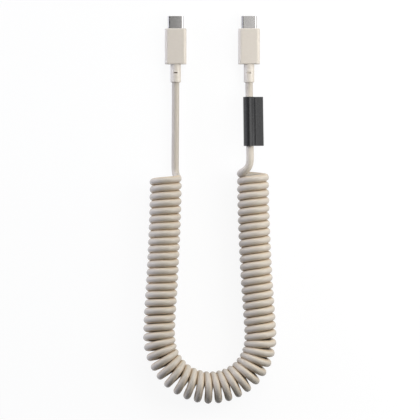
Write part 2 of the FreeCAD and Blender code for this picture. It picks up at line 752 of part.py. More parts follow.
os.makedirs("parts", exist_ok=True)
for node in nodes:
    node.Shape.exportStep(f"parts/{node.Label}.step")
    print(f"{node.Label}: {len(node.Shape.Solids)} solids, {node.Shape.Volume:.3f} mm3")
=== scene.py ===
# %% [markdown]
# # A curly charging cable
#
# A sand-coloured cable lies on a white table, bent into a U, with its two plugs side by side at the top.
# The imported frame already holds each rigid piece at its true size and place. It has a plain tube where the
# cord is coiled, and sharp edges where the mouldings are round. This lesson adds the coil's turns, the soft
# edges and the finish of every surface. The cable is worked out in millimetres and stored in metres.

# %% Load the frame
import math

import bpy
import numpy as np
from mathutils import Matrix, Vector


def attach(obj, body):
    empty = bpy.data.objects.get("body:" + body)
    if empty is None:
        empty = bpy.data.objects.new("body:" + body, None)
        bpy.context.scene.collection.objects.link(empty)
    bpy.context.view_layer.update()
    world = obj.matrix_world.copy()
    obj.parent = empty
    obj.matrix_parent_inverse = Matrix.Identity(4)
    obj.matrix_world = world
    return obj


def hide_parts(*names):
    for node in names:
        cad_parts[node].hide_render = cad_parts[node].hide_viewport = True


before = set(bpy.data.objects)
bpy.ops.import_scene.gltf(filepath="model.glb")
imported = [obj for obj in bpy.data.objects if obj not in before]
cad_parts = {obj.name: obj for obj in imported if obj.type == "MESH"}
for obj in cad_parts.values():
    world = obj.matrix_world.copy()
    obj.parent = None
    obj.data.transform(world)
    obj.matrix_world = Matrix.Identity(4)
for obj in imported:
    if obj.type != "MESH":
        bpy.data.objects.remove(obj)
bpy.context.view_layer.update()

scene = bpy.context.scene
MM = 0.001

# %% [markdown]
# ## The camera
#
# The picture is taken from straight above with a long lens, so the plugs show no side walls. A long lens is
# a camera that stands far away: at a height of 1.5 metres, the lens that frames 222 mm of table is 243 mm.
# An orthographic camera would do too, but a real lens keeps the slight growth of what stands nearer to it.

# %% Camera
PICTURE_WIDTH = 221.9
PICTURE_MIDDLE = (-1.24, -84.74)
CAMERA_HEIGHT = 1500.0

camera_data = bpy.data.cameras.new("overhead_camera")
camera_data.sensor_width = 36.0
camera_data.lens = camera_data.sensor_width * CAMERA_HEIGHT / PICTURE_WIDTH
camera = bpy.data.objects.new("overhead_camera", camera_data)
camera.location = (PICTURE_MIDDLE[0] * MM, PICTURE_MIDDLE[1] * MM, CAMERA_HEIGHT * MM)
scene.collection.objects.link(camera)
scene.camera = camera
print("camera lens:", round(camera_data.lens, 1), "mm")

# %% [markdown]
# ## Meshes from grids
#
# Most pieces here are one idea: a closed outline that is carried along a list of stations. Its points form
# a grid, with one row for each station and one column for each place on the outline. A grid can be closed
# from row to row as well, and then it is a ring, such as a sleeve with an inside and an outside wall. The
# arrays go into the mesh in one step each, which is quick even for a hundred thousand points.

# %% Grid helper
JACKET_MAP = "jacket"


def grid_object(name, points, ring=False, uv=None):
    """A mesh object from points[row, column] in mm, with each row a closed outline.

    Face (i, j) joins the points (i, j), (i, j+1), (i+1, j+1) and (i+1, j), with columns counted round.
    With ring the last row joins the first; without it one flat face closes the first row and one the last.
    The faces are turned so that they look outwards: then the volume they enclose counts as positive. The
    shading at a point leans to its largest faces, so a wide flat stays flat right up to its rounded edge.
    uv gives (u, v) for each row and column, with one more column than the points for the seam.
    """
    rows, columns = points.shape[:2]
    i, j = np.meshgrid(np.arange(rows if ring else rows - 1), np.arange(columns), indexing="ij")
    below = (i + 1) % rows
    beside = (j + 1) % columns
    quads = np.stack([
        i * columns + j, i * columns + beside, below * columns + beside, below * columns + j,
    ], -1)
    corner = points.reshape(-1, 3)[quads]
    spread = np.cross(corner[..., 2, :] - corner[..., 0, :], corner[..., 3, :] - corner[..., 1, :])
    way = 1 if np.sum(spread * corner.mean(-2)) > 0 else -1
    corners = quads[..., ::way].reshape(-1)
    starts = np.arange(quads.size // 4) * 4
    if not ring:
        first = np.arange(columns)[::-way]
        last = (rows - 1) * columns + np.arange(columns)[::way]
        starts = np.concatenate([starts, [corners.size, corners.size + columns]])
        corners = np.concatenate([corners, first, last])
    mesh = bpy.data.meshes.new(name)
    mesh.vertices.add(rows * columns)
    mesh.vertices.foreach_set("co", (points * MM).astype(np.float32).ravel())
    mesh.loops.add(corners.size)
    mesh.loops.foreach_set("vertex_index", corners.astype(np.int32))
    mesh.polygons.add(starts.size)
    mesh.polygons.foreach_set("loop_start", starts.astype(np.int32))
    if uv is not None:
        places = np.zeros((corners.size, 2), np.float32)
        around = np.stack([uv[i, j], uv[i, j + 1], uv[i + 1, j + 1], uv[i + 1, j]], -2)
        places[: quads.size] = around[..., ::way, :].reshape(-1, 2)
        mesh.uv_layers.new(name=JACKET_MAP)
        mesh.uv_layers[JACKET_MAP].data.foreach_set("uv", places.ravel())
    mesh.update(calc_edges=True)
    mesh.validate()
    mesh.shade_smooth()
    facing = np.zeros((rows * columns, 3))
    for k in range(4):
        np.add.at(facing, quads[..., k].ravel(), (spread * way).reshape(-1, 3))
    facing /= np.linalg.norm(facing, axis=1, keepdims=True)
    mesh.normals_split_custom_set_from_vertices(facing.astype(np.float32))
    made = bpy.data.objects.new(name, mesh)
    scene.collection.objects.link(made)
    print(name, "has", quads.size // 4, "faces")
    return made


def mark_painted_shade(piece, amount):
    """Writes 0 to 1 for each point into an attribute that weights painted shade: the finish is painted
    browner there.
    """
    painted_shade = piece.data.attributes.new("painted_shade", "FLOAT", "POINT")
    painted_shade.data.foreach_set("value", amount.astype(np.float32).ravel())


# %% [markdown]
# ## The line of the cord
#
# A free cord lies on one smooth curve, so its line is a NURBS spline whose control points are the route's
# points. Blender works out the curve; a copy turned into a mesh gives its points back as an array. The coil
# needs two such curves. The first is the middle line of the coil, a U. The second is the cord itself: the
# lead of plug A, the turns wound round the U, and the lead of plug B.

# %% Splines
def spline_points(name, controls, resolution):
    """The points of a NURBS curve of degree two with these control points, in mm, as Blender evaluates it.

    resolution sets how many points the curve gets for each control point.
    """
    curve = bpy.data.curves.new(name, "CURVE")
    curve.dimensions = "3D"
    curve.resolution_u = resolution
    spline = curve.splines.new("NURBS")
    spline.points.add(len(controls) - 1)
    weighted = np.column_stack([controls * MM, np.ones(len(controls))])
    spline.points.foreach_set("co", weighted.astype(np.float32).ravel())
    spline.order_u = 3
    spline.use_endpoint_u = True
    holder = bpy.data.objects.new(name, curve)
    mesh = bpy.data.meshes.new_from_object(holder)
    flat = np.empty(len(mesh.vertices) * 3, np.float32)
    mesh.vertices.foreach_get("co", flat)
    bpy.data.meshes.remove(mesh)
    bpy.data.objects.remove(holder)
    bpy.data.curves.remove(curve)
    return flat.reshape(-1, 3).astype(float) / MM


def along(points):
    """The distance along a line of points, from its first point to each."""
    return np.concatenate([[0.0], np.cumsum(np.linalg.norm(np.diff(points, axis=0), axis=1))])


COIL_ROUTE = np.array([
    (-24.50, -67.4, 8.45), (-24.55, -80.0, 8.45), (-25.30, -100.0, 8.45), (-26.35, -121.0, 8.45),
    (-27.75, -141.5, 8.45), (-28.25, -157.8, 8.45), (-21.10, -170.7, 8.45), (-8.45, -178.1, 8.45),
    (6.30, -178.1, 8.45), (18.90, -170.7, 8.45), (25.70, -157.8, 8.45), (24.80, -141.5, 8.45),
    (23.20, -121.0, 8.45), (22.15, -100.0, 8.45), (21.40, -80.0, 8.45), (21.30, -65.0, 8.45),
])
middle_line = spline_points("coil_middle_line", COIL_ROUTE, resolution=60)
middle_length = along(middle_line)
middle_heading = np.gradient(middle_line, middle_length, axis=0)
middle_bend = np.gradient(np.unwrap(np.arctan2(middle_heading[:, 1], middle_heading[:, 0])), middle_length)
print("the coil's middle line is", round(middle_length[-1], 1), "mm long")

# %% [markdown]
# ## The turns of the coil
#
# A turn is a circle that moves along the middle line while it is drawn. At each step the circle stands
# square to the line: one of its directions points away from the inside of the U, the other points up. The
# turns aren't evenly spaced. They were counted on the photograph, and a short table says how far along the
# line each counted turn reaches the outside of the U. The angle falls as the cord goes on, so each turn
# passes over the top from the inside of the U to its outside, and comes back underneath. Round the bend the
# turns stand like the leaves of a fan, touching at the inside only: there each turn takes nearly all of its
# step forward low on the inner side, which a sine added to the turn count does smoothly. It fades in as the
# line turns to run across the picture.

# %% Helix
CABLE = 3.93
TURN_RADIUS = 6.47
STEPS_PER_TURN = 24
FIRST_TURN = -0.48
LAST_TURN = 59.47
GATHER = 1.35
GATHER_AT = 0.45
GATHER_FADE = 1.5
TURN_MARKS = np.array([
    (-1.0, -0.9), (0.0, 2.6), (5.0, 22.8), (10.0, 42.4), (15.0, 62.6), (19.0, 79.8), (22.0, 92.9),
    (25.0, 106.4), (26.0, 111.5), (29.0, 125.3), (33.0, 142.9), (34.0, 147.8), (39.0, 170.0),
    (45.0, 194.9), (52.0, 223.4), (59.0, 252.0), (60.0, 256.0),
])
# the curve touches the middles of its control runs, so the control points stand a little further out
control_radius = TURN_RADIUS / math.cos(math.pi / STEPS_PER_TURN)
turn = np.arange(FIRST_TURN, LAST_TURN, 1 / STEPS_PER_TURN)
place = np.interp(turn, TURN_MARKS[:, 0], TURN_MARKS[:, 1])
# a bell two turns wide rounds off the corners of the table
smooth = np.hanning(STEPS_PER_TURN * 2 + 1)
padded = np.pad(place, STEPS_PER_TURN, mode="reflect", reflect_type="odd")
place = np.convolve(padded, smooth / smooth.sum(), mode="valid")
pitch = np.gradient(place, turn)
across_here = np.interp(place, middle_length, middle_heading[:, 0])
gather = GATHER * np.clip(across_here, 0, 1) ** GATHER_FADE
lag = np.sin(2 * math.pi * (turn - GATHER_AT)) + math.sin(2 * math.pi * GATHER_AT)
place = np.interp(turn + gather / (2 * math.pi) * lag, turn, place)


def beside_line(distance):
    """The middle line's point and its level outward direction, at distances along it.

    Past either end the line goes on straight.
    """
    inside = np.clip(distance, 0, middle_length[-1])
    point = np.stack([np.interp(inside, middle_length, column) for column in middle_line.T], -1)
    heading = np.stack([np.interp(inside, middle_length, column) for column in middle_heading.T], -1)
    heading /= np.linalg.norm(heading, axis=1, keepdims=True)
    point = point + heading * (distance - inside)[:, None]
    outward = np.stack([heading[:, 1], -heading[:, 0], np.zeros(len(heading))], -1)
    return point, outward


def wound(distance, angle, radius):
    """Points round the line, a radius times (cos(angle) outward + sin(angle) up), and that direction."""
    point, outward = beside_line(distance)
    up = np.array([0.0, 0.0, 1.0])
    direction = np.cos(angle)[:, None] * outward + np.sin(angle)[:, None] * up
    return point + radius * direction, direction


helix, helix_side = wound(place, -2 * math.pi * turn, control_radius)
print("the coil has", round(turn[-1] - turn[0], 2), "turns")
print("it goes from", helix[0].round(2), "to", helix[-1].round(2))

# %% [markdown]
# ## The leads
#
# Each lead leaves its plug straight and swings into the coil within a few millimetres. These points were set
# from the photograph. Lead A runs level, just clear of the table, and at the coil it rises to become
# the inner end of the first turn. Lead B comes up round the inner end of the last turn, crosses in front of
# the coil and slopes down to its plug; the label hangs on that slope.

# %% Leads
LEAD_A = np.array([
    (-19.35, -2.0, 3.10), (-19.36, -30.0, 3.10), (-19.60, -55.0, 3.12), (-19.62, -60.5, 3.20),
    (-19.58, -64.05, 3.30), (-19.25, -65.82, 4.03), (-18.70, -67.17, 5.38), (-18.20, -67.85, 7.15),
])
LEAD_B = np.array([
    (14.75, -65.75, 9.60), (14.95, -65.45, 11.55), (15.60, -65.00, 13.20), (17.00, -64.20, 14.35),
    (18.55, -62.80, 14.80), (19.55, -60.60, 14.85), (19.76, -57.80, 14.70), (19.70, -53.90, 13.60),
    (19.46, -26.40, 4.76), (19.41, -23.00, 3.67), (19.35, -19.40, 3.10), (19.35, -2.00, 3.10),
])
controls = np.concatenate([LEAD_A, helix, LEAD_B])
sides = np.concatenate([
    np.repeat(helix_side[:1], len(LEAD_A), 0), helix_side, np.repeat(helix_side[-1:], len(LEAD_B), 0),
])
cord_line = spline_points("cord_line", controls, resolution=2)
cord_length = along(cord_line)
print("cord:", len(controls), "control points and", len(cord_line), "points on the curve")
print("cord length:", round(cord_length[-1] * MM, 3), "m")

# %% [markdown]
# ## The jacket
#
# The cord is a circle carried along that line. Where the U bends, the inner strands have less room than the
# cord is thick, so on the real cable they press each other flat; here the circle is squeezed along the coil
# by as much as the strands lack, down to four fifths, and widened the other way. The grid also gets a UV map:
# u counts metres along the cord and v goes once round it, so a finish can follow the surface. The flanks that
# face the next turn get a weight for painted shade, a browner tone for the shade and warm bounced light
# there.

# %% Cord tube
SIDES = 22
FLATTEST = 0.80
# where the painted shade on a turn's flanks starts round the cord, and how steeply it grows
FLANK_SHADE_START = 0.35
FLANK_SHADE_FADE = 1.5
# a curve of degree two is nearest to control point k at k - 0.5 of its spans
span = np.linspace(0, len(controls) - 2, len(cord_line))
knots = np.clip(np.arange(len(controls)) - 0.5, 0, len(controls) - 2)


def carried(values):
    """Directions given at the control points, read off at each point of the curve."""
    return np.stack([np.interp(span, knots, values[:, k]) for k in range(3)], -1)


tangent = np.gradient(cord_line, axis=0)
tangent /= np.linalg.norm(tangent, axis=1, keepdims=True)
outer = carried(sides)
outer -= tangent * np.sum(outer * tangent, 1, keepdims=True)
outer /= np.linalg.norm(outer, axis=1, keepdims=True)
across = np.cross(tangent, outer)

turns_here = np.interp(span, knots, np.concatenate([
    np.full(len(LEAD_A), turn[0]), turn, np.full(len(LEAD_B), turn[-1]),
]))
nearest = np.interp(turns_here, turn, place)
line_point, line_outward = beside_line(nearest)
here_side = np.sum((cord_line - line_point) * line_outward, 1)
room = np.interp(turns_here, turn, pitch) * (1 + np.interp(nearest, middle_length, middle_bend) * here_side)
wound_part = (turns_here > turn[0]) & (turns_here < turn[-1])
squeeze = np.where(wound_part, np.clip(room / CABLE, FLATTEST, 1.0), 1.0)

angle = np.arange(SIDES) / SIDES * 2 * math.pi
thin = CABLE / 2 * squeeze[:, None] * np.sin(angle)
wide = CABLE / 2 / np.sqrt(squeeze)[:, None] * np.cos(angle)
tube = cord_line[:, None, :] + wide[..., None] * outer[:, None, :] + thin[..., None] * across[:, None, :]
jacket_map = np.stack(np.broadcast_arrays(
    (cord_length * MM)[:, None], (np.arange(SIDES + 1) / SIDES)[None, :]), -1)
cord = grid_object("cord", tube, uv=jacket_map)
# painted shade: the flanks of the wound turns that face the next turn are painted browner
flank_shade = np.clip((np.abs(np.sin(angle)) - FLANK_SHADE_START) / (1 - FLANK_SHADE_START), 0, 1) ** FLANK_SHADE_FADE
mark_painted_shade(cord, wound_part[:, None] * flank_shade[None, :])
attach(cord, "root")
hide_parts("lead_a", "curly_cord", "lead_b")
print("squeezed to", round(float(squeeze.min()), 3), "at the tightest place")

# %% [markdown]
# ## Outlines for the mouldings
#
# Housing, strain relief and steel shell all have an outline that is a rounded rectangle. A circle and a flat
# oval are rounded rectangles too, with a corner as large as it can be. If every outline has the same number
# of points and starts at the same place, one can grow into the next, and a whole moulding, with its inside,
# is a list of stations: how far along the plug, how wide, how high and how round.

# %% Outlines and sleeves
PLUGS = {"plug_a": -19.35, "plug_b": 19.35}
PLUG_HEIGHT = 3.10


def outline(width, height, corner, count):
    """Points (x, z) of rounded rectangles, one for each station, with count points to a corner.

    Corner arc k runs from k to k + 1 quarter turns: x = sx (width/2 - corner) + corner cos t, and
    z = sz (height/2 - corner) + corner sin t, with t at the middle of equal steps so that no points meet.
    """
    t = (np.arange(4 * count) + 0.5) / count * math.pi / 2
    sx = np.repeat([1.0, -1.0, -1.0, 1.0], count)
    sz = np.repeat([1.0, 1.0, -1.0, -1.0], count)
    width, height, corner = (np.asarray(size, float)[:, None] for size in (width, height, corner))
    x = sx * (width / 2 - corner) + corner * np.cos(t)
    z = sz * (height / 2 - corner) + corner * np.sin(t)
    return x, z


def grown(section, by):
    """A section (width, height, corner) with its surface moved out by a distance, or in if it is negative."""
    width, height, corner = section
    return width + 2 * by, height + 2 * by, corner + by


def edge(face, toward, section, radius, steps=7):
    """Stations round an edge from an end face to the side wall: a quarter circle of that radius.

    inset = radius (1 - sin a) and depth = radius (1 - cos a), for a from 0 to a quarter turn.
    """
    a = np.linspace(0, math.pi / 2, steps)
    inset = radius * (1 - np.sin(a))
    depth = radius * (1 - np.cos(a))
    return [(face + toward * d, *grown(section, -i)) for d, i in zip(depth, inset)]


def sleeve(stations, middle, count=16):
    """A ring of stations (y, width, height, corner) round a plug's own axis, as one closed surface."""
    table = np.array(stations)
    x, z = outline(table[:, 1], table[:, 2], table[:, 3], count)
    y = np.repeat(table[:, :1], x.shape[1], 1)
    return np.stack([middle + x, y, PLUG_HEIGHT + z], -1)


print("a 4 x 2 mm oval has", outline([4.0], [2.0], [1.0], 16)[0].size, "points")

# %% [markdown]
# ## Plug housings
#
# Each housing is a smooth moulded sleeve. Its front wall has an oval opening for the shell, and its edges
# are eased by a few tenths of a millimetre. A box with a bevel would look nearly the same from above, but
# this way the opening and the inside come with it. Stations close to an edge hold the flats flat.

# %% Housings
FRONT, REAR = 10.85, -7.85
WALL_BACK = 9.65
BODY = (11.40, 6.20, 1.90)
FRONT_FACE = (10.35, 5.15, 1.40)
OPENING = (8.29, 2.44, 1.22)
OPENING_BACK = (8.40, 2.55, 1.27)
CAVITY = (9.70, 4.50, 1.05)
FRONT_EDGE, REAR_EDGE = 0.45, 0.32
housing_stations = (
    # the opening for the shell, with its eased edge
    [(WALL_BACK, *OPENING), (FRONT - 0.15, *OPENING), (FRONT - 0.04, *grown(OPENING, 0.02))]
    + [(FRONT, *grown(OPENING, 0.07)), (FRONT, *grown(OPENING, 0.13))]
    # the front face and the outside
    + [(FRONT, *FRONT_FACE)]
    + edge(FRONT, -1, BODY, FRONT_EDGE)
    + [(y, *BODY) for y in (FRONT - 0.60, 1.5, REAR + 1.0)]
    + edge(REAR, 1, BODY, REAR_EDGE)[::-1]
    # the rear face and the inside
    + [(REAR, *grown(CAVITY, 0.04)), (REAR, *CAVITY), (REAR + 0.05, *CAVITY)]
    + [(WALL_BACK - 0.05, *CAVITY), (WALL_BACK, *CAVITY), (WALL_BACK, *OPENING_BACK)]
)
housings = []
for plug, middle in PLUGS.items():
    housing = grid_object(f"{plug}_moulded_housing", sleeve(housing_stations, middle), ring=True)
    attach(housing, "root")
    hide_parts(f"{plug}_housing")
    housings.append(housing)

# %% [markdown]
# ## Strain reliefs
#
# A round sleeve guards the cord where it leaves the housing. Its end is rounded, and a short slot across its
# top and bottom lets it flex. The slot is pressed into the surface: where a point lies inside the slot's
# outline, it moves in towards the axis. The inside of slot A gets painted shade, a dark brown; slot B, which
# the light reaches, gets none.

# %% Strain reliefs
END = -17.50
END_EDGE = 0.40
FLANGE_FRONT = -5.45
FLANGE = (9.66, 4.46, 1.05)
NECK_RADIUS = 2.775
NECK = (2 * NECK_RADIUS, 2 * NECK_RADIUS, NECK_RADIUS)
STEP_EDGE, STEP_FOOT = (5.45, 4.40, 2.20), (5.40, 4.35, 2.17)
BORE = (3.97, 3.97, 1.985)
SLOT_Y, SLOT_LENGTH, SLOT_WIDTH, SLOT_DEPTH = -12.50, 2.10, 0.60, 0.72
SLOT_END_WALL = 0.10
# how much painted shade each slot gets: slot A is painted dark inside, slot B is left as the light shows it
SLOT_PAINTED_SHADE_AMOUNT = {"plug_a": 1.0, "plug_b": 0.0}
# the rows crowd at the two long edges of the slot
slot_rows = [SLOT_Y + d for d in (0.50, 0.34, 0.31, 0.29, 0.26, 0.0, -0.26, -0.29, -0.31, -0.34, -0.50)]
relief_stations = (
    # the flange that the housing holds
    [(FLANGE_FRONT, *BORE), (FLANGE_FRONT, *grown(FLANGE, -0.08)), (FLANGE_FRONT, *FLANGE)]
    + [(FLANGE_FRONT - 0.08, *FLANGE), (REAR + 0.05, *FLANGE), (REAR, *FLANGE)]
    # the step in to the round neck, and out to its full size just behind the housing
    + [(REAR, *STEP_EDGE), (REAR - 0.01, *STEP_FOOT)]
    + [(REAR - 0.02, *grown(NECK, -0.05)), (REAR - 0.02, *NECK)]
    # the neck, its rounded end and the bore
    + [(y, *NECK) for y in [REAR - 0.1, -10.0, *slot_rows, -15.0, END + 0.9]]
    + edge(END, 1, NECK, END_EDGE, steps=9)[::-1]
    + [(END, *grown(BORE, 0.05)), (END, *BORE), (END + 0.1, *BORE), (FLANGE_FRONT - 0.15, *BORE)]
)
reliefs = []
for plug, middle in PLUGS.items():
    points = sleeve(relief_stations, middle, count=44)
    x, y, z = points[..., 0] - middle, points[..., 1], points[..., 2] - PLUG_HEIGHT
    reach = np.hypot(x, z)
    in_length = np.abs(x) < SLOT_LENGTH / 2 - SLOT_END_WALL
    in_width = np.abs(y - SLOT_Y) < SLOT_WIDTH / 2
    on_neck = reach > NECK_RADIUS - 0.05
    in_slot = in_length & in_width & on_neck
    pull = np.where(in_slot, (reach - SLOT_DEPTH) / reach, 1.0)
    points[..., 0] = middle + x * pull
    points[..., 2] = PLUG_HEIGHT + z * pull
    relief = grid_object(f"{plug}_moulded_strain_relief", points, ring=True)
    # painted shade inside the slot of plug A
    mark_painted_shade(relief, in_slot * SLOT_PAINTED_SHADE_AMOUNT[plug])
    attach(relief, "root")
    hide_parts(f"{plug}_strain_relief")
    reliefs.append(relief)

# %% [markdown]
# ## Steel shells
#
# The shell is a flat oval tube, drawn from sheet steel 0.2 mm thick. Its mouth has a small rolled lip, which
# catches the light as a fine line. The ring of stations goes out along the outside, round the lip and back
# along the inside.

# %% Shells
TIP, NEAR_BACK, SHELL_BACK = 17.50, 8.00, 7.35
SHEET = 0.20
LIP = SHEET / 2
OUTSIDE = (8.25, 2.40, 1.20)
INSIDE = grown(OUTSIDE, -SHEET)
lip_angle = np.linspace(0, math.pi, 9)
lip = [(TIP - LIP + LIP * math.sin(t), LIP - LIP * math.cos(t)) for t in lip_angle]
shell_stations = (
    [(SHELL_BACK, *OUTSIDE), (NEAR_BACK, *OUTSIDE)]
    + [(y, *grown(OUTSIDE, -inset)) for y, inset in lip]
    + [(NEAR_BACK, *INSIDE), (SHELL_BACK, *INSIDE)]
)
shells = []
for plug, middle in PLUGS.items():
    shell = grid_object(f"{plug}_drawn_shell", sleeve(shell_stations, middle), ring=True)
    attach(shell, "root")
    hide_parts(f"{plug}_shell")
    shells.append(shell)

# %% [markdown]
# ## Flag label
#
# A black rubber strip is folded round lead B and bonded to itself, so it has a loop on the cord and a flat
# flag to the right. Seen along the cord, every point of that section can be seen from the cord's middle. A
# shape like that is given by one function: how far its edge is in each direction. The larger of the loop's
# radius and the flag's reach gives the edge, and a soft maximum rounds the fold between them. The two ends
# are cut upright, though the lead slopes, so that they look square from above.

# %% Label
LABEL_LENGTH = 26.0
LABEL_Y = -38.2
LOOP = 3.265
FLAG_REACH = 7.25
FLAG_HALF = 1.0
FLAG_SOFTNESS, FOLD_SOFTNESS = 0.25, 0.18
OUT_OF_REACH = 40.0
CLIMB = np.array([(19.41, -23.0, 3.67), (19.72, -57.5, 14.74)])
SLOPE = (CLIMB[1, 2] - CLIMB[0, 2]) / (CLIMB[0, 1] - CLIMB[1, 1])


def soft_max(a, b, width):
    """The larger of two numbers, with the change-over rounded: (a + b + sqrt((a - b)^2 + width^2)) / 2."""
    return (a + b + np.sqrt((a - b) ** 2 + width**2)) / 2


def label_outline(inset):
    """Points (x, z) of the label's section round the cord's middle, set in from its surface by inset.

    The flag's edge is the softly smaller of half / sin(bearing), its faces, and reach / cos(bearing), its
    tip; the section's edge is the softly larger of that and the loop's radius. The bearings crowd at the
    corners.
    """
    loop, reach, half = LOOP - inset, FLAG_REACH - inset, FLAG_HALF - inset
    tip_bearing = math.atan2(half, reach)
    fold_bearing = math.asin(half / loop)
    # the tip's corner and the fold each have a short stretch of bearings round them
    stops = [0.0, tip_bearing - 0.02, tip_bearing + 0.03, fold_bearing + 0.12, math.pi]
    counts = [9, 15, 24, 44]
    stretches = [np.linspace(a, b, count)[:-1] for a, b, count in zip(stops, stops[1:], counts)]
    half_turn = np.concatenate([*stretches, stops[-1:]])
    bearing = np.concatenate([half_turn, -half_turn[-2:0:-1]])
    faces = half / np.maximum(np.abs(np.sin(bearing)), 1e-6)
    tip = reach / np.maximum(np.cos(bearing), 1e-6)
    flag = -soft_max(-np.minimum(faces, OUT_OF_REACH), -np.minimum(tip, OUT_OF_REACH), FLAG_SOFTNESS)
    flag = np.where(np.cos(bearing) > 0, flag, 0.0)
    reached = soft_max(np.full(len(bearing), loop), flag, FOLD_SOFTNESS)
    return reached[:, None] * np.stack([np.cos(bearing), np.sin(bearing)], -1)


section = label_outline(0.0)
print("the label's section has", len(section), "points")

# %% Label mesh
EASE = 0.15
BORE_GAP = 0.30
FLARE, FLARE_DEPTH = 1.05, 0.05
half_length = LABEL_LENGTH / 2 * math.hypot(1, SLOPE)
quarter = np.linspace(0, math.pi / 2, 6)
end_rows = [
    (half_length - EASE * (1 - math.cos(t)), label_outline(EASE * (1 - math.sin(t)))) for t in quarter
]
end_edge = end_rows[0][1]
bore = (CABLE / 2 + BORE_GAP) * end_edge / np.linalg.norm(end_edge, axis=1, keepdims=True)
rows = end_rows + [(half_length - 1.0, section), (0.0, section), (1.0 - half_length, section)]
rows += [(-y, points) for y, points in end_rows[::-1]]
rows += [(-half_length, FLARE * bore), (FLARE_DEPTH - half_length, bore)]
rows += [(half_length - FLARE_DEPTH, bore), (half_length, FLARE * bore)]
local = np.stack([np.stack([xz[:, 0], y - SLOPE * xz[:, 1], xz[:, 1]], -1) for y, xz in rows])
climb = CLIMB[0] - CLIMB[1]
climb /= np.linalg.norm(climb)
right = np.array([1.0, 0.0, 0.0]) - climb * climb[0]
right /= np.linalg.norm(right)
frame_axes = np.stack([right, climb, np.cross(right, climb)])
share = (LABEL_Y - CLIMB[0, 1]) / (CLIMB[1, 1] - CLIMB[0, 1])
label_middle = CLIMB[0] + share * (CLIMB[1] - CLIMB[0])
label = grid_object("folded_flag_label", label_middle + local @ frame_axes, ring=True)
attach(label, "root")
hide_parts("flag_label")
print("label middle", label_middle.round(2))

# %% [markdown]
# ## The cord's length
#
# This cord leaves the strain relief of plug A and goes back into that of plug B, and the label hangs on it.
# Its length is printed here.

print("declared a cord of", round(cord_length[-1] * MM, 3), "m")

# %% [markdown]
# ## Finishes
#
# Every surface gets a Principled shader with its own grain: soft clouds that shift the colour a little, and
# fine specks that change the gloss and dent the surface. Values that are the same all over are set on the
# shader itself. Solids read the grain from Object coordinates, in metres, so the scale numbers are large: a
# scale of 4000 makes specks of about a quarter of a millimetre. The cord reads it from its UV map instead.

# %% Finish helper
CLOUD_SIZE = 6


def finish(name, tones, roughness, scale, bump, stretch=(1, 1, 1), uv=None, **sockets):
    """A material with two tones mixed by clouds, and a roughness and a bump that follow specks.

    tones are two linear colours, roughness the lowest and highest value, scale that of the specks' noise,
    and bump the height in metres. The clouds are CLOUD_SIZE times as large as the specks. stretch multiplies
    the coordinates, uv names a UV map to read them from, and sockets are values for the shader itself.
    """
    material = bpy.data.materials.new(name)
    material.use_nodes = True
    tree = material.node_tree
    shader = tree.nodes["Principled BSDF"]
    for socket, number in sockets.items():
        shader.inputs[socket.replace("_", " ")].default_value = number
    if uv is None:
        source = tree.nodes.new("ShaderNodeTexCoord").outputs["Object"]
    else:
        mapped = tree.nodes.new("ShaderNodeUVMap")
        mapped.uv_map = uv
        source = mapped.outputs["UV"]
    mapping = tree.nodes.new("ShaderNodeMapping")
    mapping.inputs["Scale"].default_value = stretch
    tree.links.new(source, mapping.inputs["Vector"])
    clouds = tree.nodes.new("ShaderNodeTexNoise")
    clouds.inputs["Scale"].default_value = scale / CLOUD_SIZE
    clouds.inputs["Detail"].default_value = 4
    specks = tree.nodes.new("ShaderNodeTexNoise")
    specks.inputs["Scale"].default_value = scale
    specks.inputs["Detail"].default_value = 2
    for texture in (clouds, specks):
        tree.links.new(mapping.outputs["Vector"], texture.inputs["Vector"])
    tint = tree.nodes.new("ShaderNodeValToRGB")
    tint.color_ramp.elements[0].position = 0.3
    tint.color_ramp.elements[0].color = (*tones[0], 1)
    tint.color_ramp.elements[1].position = 0.7
    tint.color_ramp.elements[1].color = (*tones[1], 1)
    tree.links.new(clouds.outputs["Fac"], tint.inputs["Fac"])
    tree.links.new(tint.outputs["Color"], shader.inputs["Base Color"])
    gloss = tree.nodes.new("ShaderNodeMapRange")
    gloss.inputs["To Min"].default_value = roughness[0]
    gloss.inputs["To Max"].default_value = roughness[1]
    tree.links.new(specks.outputs["Fac"], gloss.inputs["Value"])
    tree.links.new(gloss.outputs["Result"], shader.inputs["Roughness"])
    dents = tree.nodes.new("ShaderNodeBump")
    dents.inputs["Strength"].default_value = 1.0
    dents.inputs["Distance"].default_value = bump
    tree.links.new(specks.outputs["Fac"], dents.inputs["Height"])
    tree.links.new(dents.outputs["Normal"], shader.inputs["Normal"])
    return material


def wear(piece, material):
    """Gives a piece this finish in place of any that it had."""
    piece.data.materials.clear()
    piece.data.materials.append(material)


def paint_shade_into(material, colour):
    """Paints shade into a finish: mixes a second colour in, by the amount in the piece's own painted-shade
    attribute.
    """
    tree = material.node_tree
    shader = tree.nodes["Principled BSDF"]
    tone = shader.inputs["Base Color"].links[0].from_socket
    painted_shade = tree.nodes.new("ShaderNodeAttribute")
    painted_shade.attribute_name = "painted_shade"
    deeper = tree.nodes.new("ShaderNodeMix")
    deeper.data_type = "RGBA"
    deeper.inputs["B"].default_value = (*colour, 1)
    tree.links.new(painted_shade.outputs["Fac"], deeper.inputs["Factor"])
    tree.links.new(tone, deeper.inputs["A"])
    tree.links.new(deeper.outputs["Result"], shader.inputs["Base Color"])
